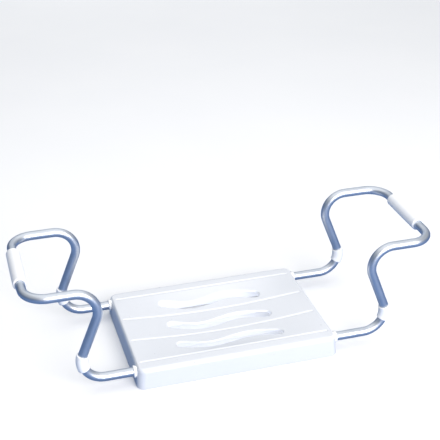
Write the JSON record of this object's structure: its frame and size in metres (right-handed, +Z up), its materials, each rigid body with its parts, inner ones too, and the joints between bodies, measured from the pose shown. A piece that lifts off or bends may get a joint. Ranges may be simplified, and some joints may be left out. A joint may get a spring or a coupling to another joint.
{
  "type": "bath transfer bench",
  "caption": "Dished slatted bath seat with wave drain slots, hung between two bent tube hangers that slide in and out under it, with grip and bumper sleeves.",
  "frame": {"origin": "middle of the seat in plan, at the level of the seat's lower rim", "axes": "+X across the bath, to the right of a sitter who faces the front (-Y); +Y towards the back of the seat; +Z up"},
  "size_m": [0.832, 0.297, 0.2325],
  "materials": {
    "seat_plastic": "moulded white plastic, glossy",
    "grip_plastic": "soft white plastic, satin",
    "fitting_plastic": "pale grey moulded plastic",
    "tube": "bright chrome plate on steel tube",
    "screw": "zinc-plated steel"
  },
  "bodies": {
    "seat": {"seat_shell": "seat_plastic", "left_front_entry_bush": "grip_plastic", "left_front_clamp": "fitting_plastic", "left_front_inner_screw": "screw", "left_front_outer_screw": "screw", "left_back_entry_bush": "grip_plastic", "left_back_clamp": "fitting_plastic", "left_back_inner_screw": "screw", "left_back_outer_screw": "screw", "right_front_entry_bush": "grip_plastic", "right_front_clamp": "fitting_plastic", "right_front_inner_screw": "screw", "right_front_outer_screw": "screw", "right_back_entry_bush": "grip_plastic", "right_back_clamp": "fitting_plastic", "right_back_inner_screw": "screw", "right_back_outer_screw": "screw"},
    "left_hanger": {"left_hanger_tube": "tube", "left_grip_sleeve": "grip_plastic", "left_front_bumper": "grip_plastic", "left_front_end_plug": "fitting_plastic", "left_back_bumper": "grip_plastic", "left_back_end_plug": "fitting_plastic"},
    "right_hanger": {"right_hanger_tube": "tube", "right_grip_sleeve": "grip_plastic", "right_front_bumper": "grip_plastic", "right_front_end_plug": "fitting_plastic", "right_back_bumper": "grip_plastic", "right_back_end_plug": "fitting_plastic"}
  },
  "joints": [
    {"name": "left_hanger_slide", "type": "slide", "parent": "seat", "child": "left_hanger", "axis": [-1, 0, 0], "range_m": [-0.026, 0.034]},
    {"name": "right_hanger_slide", "type": "slide", "parent": "seat", "child": "right_hanger", "axis": [1, 0, 0], "range_m": [-0.034, 0.026]}
  ]
}
